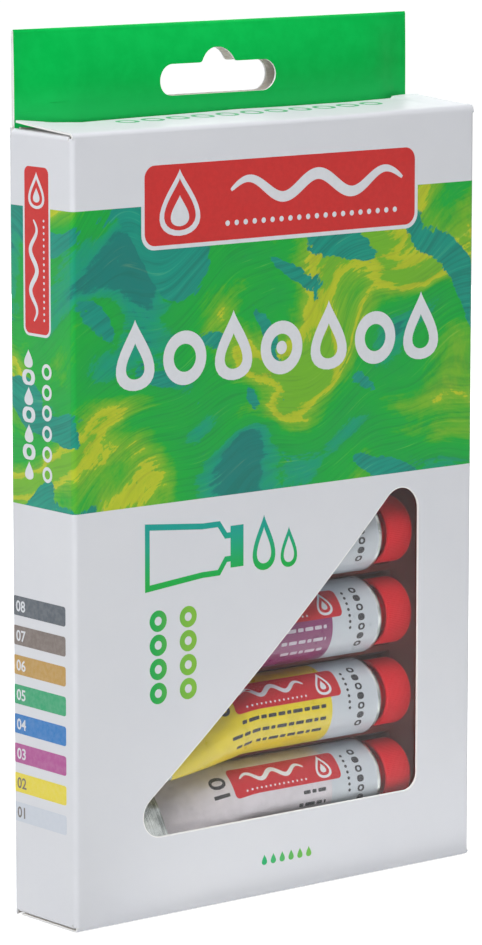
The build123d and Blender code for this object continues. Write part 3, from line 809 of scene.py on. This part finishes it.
# ---------------------------------------------------------------------------------------
# Caps: moulded in red plastic with a fine grip of upright ribs all round, a rounded end and
# an open skirt that stops short of the tube's shoulder. Each turns on its thread.
# ---------------------------------------------------------------------------------------
CAP_RIM = 34.5
CAP_END = 42.5
RIB_HEIGHT = 0.13
RIB_COUNT = 110
cap_profile = [
    (41.7, 0.0), (41.8, 3.5), (42.05, 5.2), (42.4, 5.6), (CAP_END, 5.9), (CAP_END, 6.2),
    (42.42, 6.65), (42.2, 7.05), (41.9, 7.33), (41.5, 7.5), (41.0, 7.57), (38.5, 7.57),
    (36.5, 7.57), (34.9, 7.57), (34.6, 7.5), (CAP_RIM, 7.35), (CAP_RIM, 6.95), (34.65, 6.8),
    (36.5, 6.75),
    (40.4, 6.7), (40.7, 6.4), (40.75, 5.0), (40.6, 4.75), (36.5, 4.7), (35.1, 4.65),
    (35.0, 4.45), (35.1, 4.2), (37.0, 4.15), (40.95, 4.15), (41.0, 0.0),
]


def turned_shape(profile, level, around):
    """A closed surface turned round a tube's axis from points of (x, radius)."""
    shape = bmesh.new()
    first = shape.verts.new((profile[0][0] * MM, TUBE_Y * MM, level * MM))
    last = shape.verts.new((profile[-1][0] * MM, TUBE_Y * MM, level * MM))
    rings = [
        [shape.verts.new(ring_point(x, radius, 2 * pi * step / around, level))
         for step in range(around)]
        for x, radius in profile[1:-1]
    ]
    for step in range(around):
        beside = (step + 1) % around
        shape.faces.new((first, rings[0][step], rings[0][beside]))
        shape.faces.new((last, rings[-1][beside], rings[-1][step]))
        for before, after in zip(rings, rings[1:]):
            shape.faces.new((before[step], after[step], after[beside], before[beside]))
    bmesh.ops.recalc_face_normals(shape, faces=shape.faces)
    return shape


red_plastic, tree, shader, place, normal = new_finish("red_cap_plastic")
coloured(tree, shader, mixed(tree, noise(tree, place, 0.4, 2.0), rgb(222, 6, 30), rgb(232, 12, 38)))
roughened(tree, shader, place, 0.6, 0.40, 0.50)
shader.inputs["Specular IOR Level"].default_value = 0.22
shader.inputs["Subsurface Weight"].default_value = 0.15
shader.inputs["Subsurface Radius"].default_value = (0.0012, 0.0004, 0.0003)
relief(tree, shader, noise(tree, place, 1.5, 3.0), 0.015 * MM)


ribs, given, result = geometry_tree("grip_ribs", (
    ("Rib Count", "NodeSocketInt"), ("Ring Radius", "NodeSocketFloat"),
    ("Rib Height", "NodeSocketFloat"), ("Rib Width", "NodeSocketFloat"),
    ("Rib Length", "NodeSocketFloat"), ("Centre", "NodeSocketVector"),
    ("Plastic", "NodeSocketMaterial"),
))
circle = geometry_node(ribs, "MeshCircle", {
    "Vertices": given.outputs["Rib Count"], "Radius": given.outputs["Ring Radius"],
})
rod = geometry_node(ribs, "MeshCylinder", {"Vertices": 8, "Radius": 1.0, "Depth": 1.0})
index = geometry_node(ribs, "InputIndex", {}).outputs[0]
step_angle = maths(ribs, "DIVIDE", 2 * pi, given.outputs["Rib Count"])
turned = add_node(ribs, "CombineXYZ", {"Z": maths(ribs, "MULTIPLY", index, step_angle)})
sizes = add_node(ribs, "CombineXYZ", {
    "X": given.outputs["Rib Height"], "Y": maths(ribs, "MULTIPLY", given.outputs["Rib Width"], 0.5),
    "Z": given.outputs["Rib Length"],
})
spread = geometry_node(ribs, "InstanceOnPoints", {
    "Points": circle.outputs[0], "Instance": rod.outputs["Mesh"], "Rotation": turned.outputs[0],
    "Scale": sizes.outputs[0],
})
real = geometry_node(ribs, "RealizeInstances", {"Geometry": spread.outputs[0]})
laid = geometry_node(ribs, "Transform", {
    "Geometry": real.outputs[0], "Translation": given.outputs["Centre"],
    "Rotation": (0.0, pi / 2, 0.0),
})
joined = geometry_node(ribs, "JoinGeometry", {"Geometry": laid.outputs[0]})
ribs.links.new(given.outputs["Geometry"], joined.inputs["Geometry"])
dyed = geometry_node(ribs, "SetMaterial", {
    "Geometry": joined.outputs[0], "Material": given.outputs["Plastic"],
})
ribs.links.new(dyed.outputs[0], result.inputs[0])

RIB_START = 34.85
RIB_END = 41.35
for (shade, _), level in zip(TUBE_COLOURS, TUBE_Z):
    cap = turned_shape(cap_profile, level, 96)
    shaded(cap)
    grip = {
        "Rib Count": RIB_COUNT, "Ring Radius": 7.56 * MM, "Rib Height": RIB_HEIGHT * MM,
        "Rib Width": 0.30 * MM, "Rib Length": (RIB_END - RIB_START) * MM,
        "Centre": ((RIB_START + RIB_END) / 2 * MM, TUBE_Y * MM, level * MM),
        "Plastic": red_plastic,
    }
    piece_from(cap, "ribbed_cap_" + shade, [red_plastic], "cap_" + shade, "cap_plastic",
               "cap_" + shade, made_by=(ribs, grip))

# ---------------------------------------------------------------------------------------
# Print on the walls: flat inks with plain paint drops, rings and dabs, a red plate with a
# white line round it, and eight numbered bars for the eight colours on each side.
# ---------------------------------------------------------------------------------------
INK = 0.02
OVER = 0.035


def new_ink(name, colour, shade=0.94):
    """A flat ink with the faint mottle of offset printing."""
    material, tree, shader, place, normal = new_finish(name)
    mottle = eased(tree, noise(tree, place, 0.9, 4.0, 0.65), 0.35, 0.65)
    deeper = tuple(channel * shade for channel in rgb(*colour)[:3]) + (1.0,)
    coloured(tree, shader, mixed(tree, mottle, deeper, rgb(*colour)))
    roughened(tree, shader, place, 0.4, 0.34, 0.46)
    shader.inputs["Specular IOR Level"].default_value = 0.3
    return material


def blended_ink(name, axis, start, end, first, second):
    """An ink that blends from one colour to another along one axis."""
    material, tree, shader, place, normal = new_finish(name)
    grain = maths(tree, "MULTIPLY_ADD", noise(tree, place, 1.2, 3.0), 0.6, part_of(tree, place, axis))
    share = eased(tree, grain, start, end)
    coloured(tree, shader, mixed(tree, share, rgb(*first), rgb(*second)))
    roughened(tree, shader, place, 0.4, 0.34, 0.46)
    shader.inputs["Specular IOR Level"].default_value = 0.3
    return material


def oblong(left, low, right, top, corner, steps=7):
    """The outline of an oblong with rounded corners."""
    outline = []
    for x, y, start in ((right, top, 0.0), (left, top, 0.5), (left, low, 1.0), (right, low, 1.5)):
        for step in range(steps + 1):
            turn = pi * (start + step / steps / 2)
            inner_x = x - corner if x == right else x + corner
            inner_y = y - corner if y == top else y + corner
            outline.append((inner_x + corner * cos(turn), inner_y + corner * sin(turn)))
    return outline


def round_dot(x, y, radius, steps=28):
    return [(x + radius * cos(2 * pi * step / steps), y + radius * sin(2 * pi * step / steps))
            for step in range(steps)]


def paint_drop(x, y, width, height, steps=30):
    """A drop whose point is at the top."""
    outline = []
    for step in range(1, steps):
        turn = 2 * pi * step / steps
        swell = sin(turn) * abs(sin(turn / 2)) ** 1.6
        outline.append((x + swell * width * 0.66, y + cos(turn) * height / 2))
    return [(x, y + height / 2)] + outline


def brush_stroke(points, width):
    """The outline of a stroke along a line of points, thin at both ends."""
    left, right = [], []
    for index, (x, y) in enumerate(points):
        before = points[max(index - 1, 0)]
        after = points[min(index + 1, len(points) - 1)]
        run = hypot(after[0] - before[0], after[1] - before[1])
        share = index / (len(points) - 1)
        half = width / 2 * (0.25 + 0.75 * sin(pi * share) ** 0.6)
        shift = (-(after[1] - before[1]) / run * half, (after[0] - before[0]) / run * half)
        left.append((x + shift[0], y + shift[1]))
        right.append((x - shift[0], y - shift[1]))
    return left + right[::-1]


def wave(left, middle, right, swing, turns, steps=36):
    spots = [step / steps for step in range(steps + 1)]
    return [(left + (right - left) * s, middle + swing * sin(2 * pi * turns * s)) for s in spots]


def outlined(ink, lift, *outlines):
    """A printed shape from its outline and then its holes."""
    loops = [[Vector((x, y, 0.0)) for x, y in outline] for outline in outlines]
    points = [(point.x, point.y) for loop in loops for point in loop]
    return ink, lift, points, tessellate_polygon(loops)


def numeral(ink, lift, digit, height, x, y, turn=0.0):
    """A plain number, centred on x and y."""
    text = bpy.data.curves.new("numeral", "FONT")
    text.body = "%02d" % digit
    text.size = height / 0.7
    text.offset = 0.025 * height
    text.align_x = "CENTER"
    text.resolution_u = 3
    sign = bpy.data.objects.new("numeral", text)
    bpy.context.scene.collection.objects.link(sign)
    graph = bpy.context.evaluated_depsgraph_get()
    mesh = bpy.data.meshes.new_from_object(sign.evaluated_get(graph))
    mesh.calc_loop_triangles()
    triangles = [tuple(triangle.vertices) for triangle in mesh.loop_triangles]
    points = []
    for corner in mesh.vertices:
        across, upward = corner.co.x, corner.co.y - height / 2
        points.append((x + across * cos(turn) - upward * sin(turn),
                       y + across * sin(turn) + upward * cos(turn)))
    bpy.data.objects.remove(sign)
    bpy.data.curves.remove(text)
    bpy.data.meshes.remove(mesh)
    return ink, lift, points, triangles


def printed(name, marks, wrap, inks, body, slot, bends=(), made_by=None):
    """Thin films of ink laid on a surface: wrap gives the place of a point of the flat print."""
    shape = bmesh.new()
    for ink, lift, points, triangles in marks:
        flat = bmesh.new()
        corners = [flat.verts.new((x, y, 0.0)) for x, y in points]
        for triangle in triangles:
            flat.faces.new([corners[index] for index in triangle])
        bmesh.ops.remove_doubles(flat, verts=flat.verts, dist=0.0001)
        for axis, bend in bends:
            along = Vector((0.0, 0.0, 0.0))
            along[axis] = 1.0
            every_part = flat.verts[:] + flat.edges[:] + flat.faces[:]
            bmesh.ops.bisect_plane(flat, geom=every_part, plane_co=along * bend, plane_no=along)
        upper = {corner: shape.verts.new(wrap(*corner.co[:2], lift)) for corner in flat.verts}
        lower = {corner: shape.verts.new(wrap(*corner.co[:2], -0.02)) for corner in flat.verts}
        for face in flat.faces:
            shape.faces.new([upper[corner] for corner in face.verts]).material_index = ink
            shape.faces.new([lower[corner] for corner in reversed(face.verts)]).material_index = ink
        for edge in flat.edges:
            if edge.is_boundary:
                first, second = edge.verts
                ring = (upper[first], upper[second], lower[second], lower[first])
                shape.faces.new(ring).material_index = ink
        flat.free()
    bmesh.ops.recalc_face_normals(shape, faces=shape.faces)
    shaded(shape)
    return piece_from(shape, name, inks, body, slot, made_by=made_by)


rows, given, result = geometry_tree("row_of_marks", (
    ("Count", "NodeSocketInt"), ("Step", "NodeSocketVector"), ("Ink", "NodeSocketMaterial"),
))
line = geometry_node(rows, "MeshLine", {
    "Count": given.outputs["Count"], "Offset": given.outputs["Step"],
})
spread = geometry_node(rows, "InstanceOnPoints", {
    "Points": line.outputs[0], "Instance": given.outputs["Geometry"],
})
real = geometry_node(rows, "RealizeInstances", {"Geometry": spread.outputs[0]})
dyed = geometry_node(rows, "SetMaterial", {
    "Geometry": real.outputs[0], "Material": given.outputs["Ink"],
})
rows.links.new(dyed.outputs[0], result.inputs[0])


def row_of(name, mark, wrap, ink, count, step):
    """The same printed mark repeated along a straight line on the carton."""
    steps = {"Count": count, "Step": tuple(size * MM for size in step), "Ink": ink}
    return printed(name, [mark], wrap, [ink], "carton", "printed_board", made_by=(rows, steps))


def on_front(a, b, lift):
    return (a * MM, (FRONT - lift) * MM, b * MM)


def on_back(a, b, lift):
    return (-a * MM, (-FRONT + lift) * MM, b * MM)


def on_left(a, b, lift):
    """The left wall turns away round its two upright creases."""
    over = min(max(abs(a) - (CARTON_DEPTH / 2 - FOLD_RADIUS), 0.0), FOLD_RADIUS)
    sunk = FOLD_RADIUS - sqrt(FOLD_RADIUS ** 2 - over ** 2)
    return ((-SIDE + sunk - lift) * MM, -a * MM, b * MM)


def on_right(a, b, lift):
    x, y, z = on_left(a, b, lift)
    return (-x, -y, z)


white_ink = new_ink("white_ink", (224, 226, 231), 0.97)
red_ink = new_ink("red_ink", (206, 48, 46))
green_ink = blended_ink("small_green_ink", 0, -6.0, 10.0, (20, 176, 110), (110, 186, 70))
teal_ink = blended_ink("teal_to_green_ink", 2, 74.0, 88.0, (0, 172, 62), (0, 158, 146))
lime_ink = blended_ink("green_to_lime_ink", 0, -36.5, -24.0, (0, 168, 72), (128, 188, 56))
SIGN_INKS = [white_ink, red_ink, green_ink, teal_ink, lime_ink]

PLATE = (-38.0, 149.5, 39.4, 167.0)
KEYLINE = 0.9
left, low, right, top = PLATE
front_marks = [
    outlined(0, INK, oblong(left - KEYLINE, low - KEYLINE, right + KEYLINE, top + KEYLINE, 3.5)),
    outlined(1, OVER, oblong(left, low, right, top, 2.8)),
    outlined(0, OVER + 0.015, paint_drop(-28.3, 158.6, 12.4, 14.6), paint_drop(-28.3, 158.2, 9.6, 11.4)),
    outlined(0, OVER + 0.015, paint_drop(-28.3, 156.8, 5.6, 6.8)),
    outlined(0, OVER + 0.015, brush_stroke(wave(-14.0, 160.4, 35.6, 2.3, 2.5, 80), 2.6)),
]

TITLE_LOW = 117.8
TITLE_HIGH = 133.9
title_middle = (TITLE_LOW + TITLE_HIGH) / 2
for place_along in range(7):
    x = -40.7 + place_along * 13.7
    if place_along % 2 == 0:
        front_marks.append(outlined(
            0, INK, paint_drop(x, title_middle + 0.3, 11.6, 15.6),
            paint_drop(x, title_middle - 1.0, 5.6, 8.0)))
    else:
        front_marks.append(outlined(
            0, INK, round_dot(x, title_middle - 1.4, 6.0, 40), round_dot(x, title_middle - 1.4, 3.1)))
        if place_along == 3:
            front_marks.append(outlined(0, INK, round_dot(x, title_middle - 1.4, 1.5, 20)))

tube_left, tube_right = -38.2, -10.5
front_marks.append(outlined(
    3, INK,
    [(tube_left, 88.7), (-22.0, 87.2), (-17.2, 87.2), (-15.2, 84.4), (-14.2, 84.4), (-14.2, 85.8),
     (tube_right, 85.8), (tube_right, 76.4), (-14.2, 76.4), (-14.2, 77.8), (-15.2, 77.8),
     (-17.2, 75.0), (-22.0, 75.0), (tube_left, 73.5)],
    [(tube_left + 1.3, 87.2), (-22.3, 85.9), (-17.8, 85.9), (-15.8, 83.1), (-14.2, 83.1),
     (-14.2, 79.1), (-15.8, 79.1), (-17.8, 76.3), (-22.3, 76.3), (tube_left + 1.3, 75.0)]))
for x, size in ((-4.6, 0.9), (2.6, 0.66)):
    front_marks.append(outlined(
        3, INK, paint_drop(x, 74.4 + 7.4 * size, 8.0 * size, 14.0 * size),
        paint_drop(x, 74.4 + 6.7 * size, 5.0 * size, 9.2 * size)))
printed("front_print", front_marks, on_front, SIGN_INKS, "carton", "printed_board")
row_of("plate_dots", outlined(0, OVER + 0.015, round_dot(-15.0, 153.2, 0.62, 14)), on_front,
       white_ink, 20, (2.55, 0.0, 0.0))
row_of("small_drops", outlined(0, INK, paint_drop(-4.4, 8.3, 1.7, 2.4, 18)), on_front,
       green_ink, 6, (2.6, 0.0, 0.0))
for column, x in (("left", -34.6), ("right", -26.2)):
    dot = outlined(0, INK, round_dot(x, 50.6, 2.4), round_dot(x, 50.6, 1.0, 16))
    row_of("eight_dots_" + column, dot, on_front, lime_ink, 4, (0.0, 0.0, 5.4))


def on_lid(a, b, lift):
    """The lid's outer face, tilted up towards its rear edge."""
    height = 174.9985 + (b + 11.5576) * 0.05241 + lid_lift(a, b)
    return (a * MM, b * MM, (height + lift) * MM)


lid_ink = new_ink("soft_green_ink", (96, 182, 134))
lid_marks = []
for step in range(11):
    x = -32.0 + 7.0 * step
    lid_marks.append(outlined(0, INK, round_dot(x, 2.2, 2.7, 24), round_dot(x, 2.2, 1.7, 18)))
lid_bends = [(0, x) for x in np.arange(-34.0, 44.0, 2.0)]
printed("lid_print", lid_marks, on_lid, [lid_ink], "top_lid", "printed_board", lid_bends)

key_ink, tree, shader, place, normal = new_finish("colour_key_inks")
KEY_LOW = 21.4
KEY_PITCH = 6.63
KEY_HIGH = KEY_LOW + 7 * KEY_PITCH + 4.4
KEY_COLOURS = (
    (206, 212, 222), (232, 214, 60), (176, 78, 146), (28, 118, 190), (34, 160, 108),
    (188, 148, 74), (122, 110, 104), (82, 90, 99),
)
ramp = add_node(tree, "ValToRGB", {"Fac": eased(tree, part_of(tree, place, 2), 0.0, 80.0)})
ramp.inputs["Fac"].links[0].from_node.interpolation_type = "LINEAR"
ramp.color_ramp.interpolation = "CONSTANT"
for step, ink in enumerate(KEY_COLOURS):
    spot = (KEY_LOW - 1.0 + KEY_PITCH * step) / 80
    element = ramp.color_ramp.elements[0] if step == 0 else ramp.color_ramp.elements.new(spot)
    element.color = rgb(*ink)
ramp.color_ramp.elements[-1].color = rgb(*KEY_COLOURS[-1])
mottle = noise(tree, place, 0.9, 4.0, 0.65)
coloured(tree, shader, mixed(tree, eased(tree, mottle, 0.3, 0.7, 0.0, 0.06), ramp.outputs[0],
                             (1.0, 1.0, 1.0, 1.0)))
roughened(tree, shader, place, 0.4, 0.34, 0.46)
shader.inputs["Specular IOR Level"].default_value = 0.3
number_ink = new_ink("grey_number_ink", (120, 112, 108))
SIDE_INKS = [white_ink, red_ink, key_ink, number_ink]

side_marks = [
    outlined(0, INK, oblong(-6.2, 130.3, 3.6, 167.7, 2.0)),
    outlined(1, OVER, oblong(-5.6, 130.9, 3.05, 167.1, 1.5)),
    outlined(0, OVER + 0.015, paint_drop(-1.3, 162.0, 6.4, 8.0), paint_drop(-1.3, 161.6, 4.7, 5.9)),
    outlined(0, OVER + 0.015, paint_drop(-1.3, 161.0, 2.6, 3.2)),
    outlined(0, OVER + 0.015, brush_stroke(
        [(x - 2.4, y) for y, x in wave(133.6, 0.0, 155.6, 1.15, 2.5, 60)], 1.3)),
]
side_marks += [
    outlined(0, OVER + 0.015, round_dot(1.3, 134.0 + 1.35 * step, 0.3, 10)) for step in range(17)
]
for step in range(7):
    z = 100.6 + 4.1 * step
    hole = [round_dot(-4.6, z, 1.0, 16)] if step % 2 else []
    mark = oblong(-6.9, z - 1.7, -2.3, z + 1.7, 1.6) if step % 2 else paint_drop(-4.6, z, 3.4, 4.0)
    side_marks.append(outlined(0, INK, mark, *hole))
for step in range(6):
    z = 100.4 + 4.5 * step
    side_marks.append(outlined(0, INK, round_dot(2.0, z, 1.75, 20), round_dot(2.0, z, 1.0, 16)))
for step in range(8):
    low = KEY_LOW + KEY_PITCH * step
    side_marks.append(outlined(2, INK, oblong(-10.9, low, 8.2, low + 4.35, 0.6, 3)))
    number = 3 if step < 2 else 0
    side_marks.append(numeral(number, OVER, step + 1, 2.4, -8.2, low + 2.15))
crease_bends = [(0, side * spot) for side in (-1, 1) for spot in (10.4, 10.6, 10.8)]
for side_name, wrap in (("left", on_left), ("right", on_right)):
    printed(side_name + "_print", side_marks, wrap, SIDE_INKS, "carton", "printed_board",
            crease_bends)

printed("back_print", [
    outlined(0, INK, oblong(-38.9, 148.6, 40.3, 167.9, 3.5)),
    outlined(1, OVER, oblong(*PLATE, 2.8)),
    outlined(0, OVER + 0.015, brush_stroke(wave(-30.0, 158.2, 31.0, 3.2, 3.0, 80), 3.0)),
] + [
    outlined(3, INK, oblong(-48.0, 80.0 - 3.4 * row, 48.0 - 9.0 * ((row * 7) % 4), 80.5 - 3.4 * row,
                            0.24, 2)) for row in range(9)
] + [
    outlined(3, INK, oblong(-48.0, 12.0, -10.0, 34.0, 1.2), oblong(-47.5, 12.5, -10.5, 33.5, 0.9))
] + [
    outlined(4, INK, round_dot(4.0 + 6.2 * (step % 8), 30.0, 2.4)) for step in range(8)
] + [
    numeral(3, INK, step + 1, 2.6, 4.0 + 6.2 * step, 24.0) for step in range(8)
], on_back, [white_ink, red_ink, green_ink, number_ink, lime_ink], "carton", "printed_board")

# ---------------------------------------------------------------------------------------
# Print on the tubes: a red plate with a white wave, a plain number, rows of short dashes under
# the plate and a column of dark dabs beside the shoulder, all following the round metal.
# ---------------------------------------------------------------------------------------
dark_ink = new_ink("dark_ink", (58, 58, 62), 0.85)
pale_ink = new_ink("pale_ink", (206, 198, 208))
crimson_ink = new_ink("crimson_ink", (194, 34, 44))
DASHES = (
    (6.6, 7.8, 7.4), (24.2, 27.0, 25.4), (11.8, 13.0, 12.4), (14.0, 16.2, 15.0),
    (12.6, 17.0, 14.2), (9.8, 12.4, 13.0), (15.2, 13.8, 12.6), (8.2, 9.4, 8.8),
)
skin_bends = [(1, TUBE_RADIUS * radians(turn)) for turn in np.arange(-86.25, 90.0, 3.75)]
skin_bends += [(0, x) for x in body_stations if -18.0 < x < 0.0]
for number, ((shade, _), level) in enumerate(zip(TUBE_COLOURS, TUBE_Z)):
    words = 2 if shade in ("white", "yellow", "ochre") else 3
    tilt = radians((0.0, 1.5, -3.0, 2.0, -1.0, 3.5, 0.0, -2.0)[number]) * TUBE_RADIUS
    low, high = 2.75 + tilt, 9.65 + tilt
    marks = [
        outlined(1, INK, oblong(-10.1, low, 20.2, high, 1.1)),
        outlined(0, OVER, paint_drop(15.6, (low + high) / 2 + 0.1, 4.8, 5.9),
                 paint_drop(15.6, (low + high) / 2 - 0.1, 3.5, 4.3)),
        outlined(0, OVER, paint_drop(15.6, (low + high) / 2 - 0.4, 1.8, 2.3, 16)),
        outlined(0, OVER, brush_stroke(wave(-7.8, (low + high) / 2 + 0.7, 10.4, 0.95, 2.5, 60), 1.15)),
        numeral(2, INK, number + 1, 3.9, -13.3, 5.6 + tilt, -pi / 2),
    ]
    marks += [
        outlined(0, OVER, round_dot(-7.0 + 1.3 * step, low + 1.15, 0.26, 8)) for step in range(14)
    ]
    for row, width in enumerate(DASHES[number]):
        b = 0.9 - 2.85 * row + tilt
        start = 15.2 - width
        step = 0
        while start < 15.0:
            run = (2.0, 1.2, 2.8, 1.6, 2.3)[(step + row + number) % 5]
            end = min(start + run, 15.2)
            marks.append(outlined(words, INK, oblong(start, b - 0.42, end, b + 0.42, 0.2, 2)))
            start = end + 0.55
            step += 1
    for step in range(7):
        b = 8.6 - 2.25 * step + tilt
        hole = [] if step % 2 else [round_dot(25.6, b, 0.45, 10)]
        marks.append(outlined(2, INK, oblong(24.6, b - 0.8, 26.6, b + 0.8, 0.75, 4), *hole))
        marks.append(outlined(2, INK, round_dot(22.2, b * 0.62 + 2.6, 0.38, 10)))

    def on_tube(a, b, lift, level=level):
        return tube_point(a, b / TUBE_RADIUS, level, lift)

    printed("tube_print_" + shade, marks, on_tube, [white_ink, crimson_ink, dark_ink, pale_ink],
            "carton", "tube_metal", skin_bends)
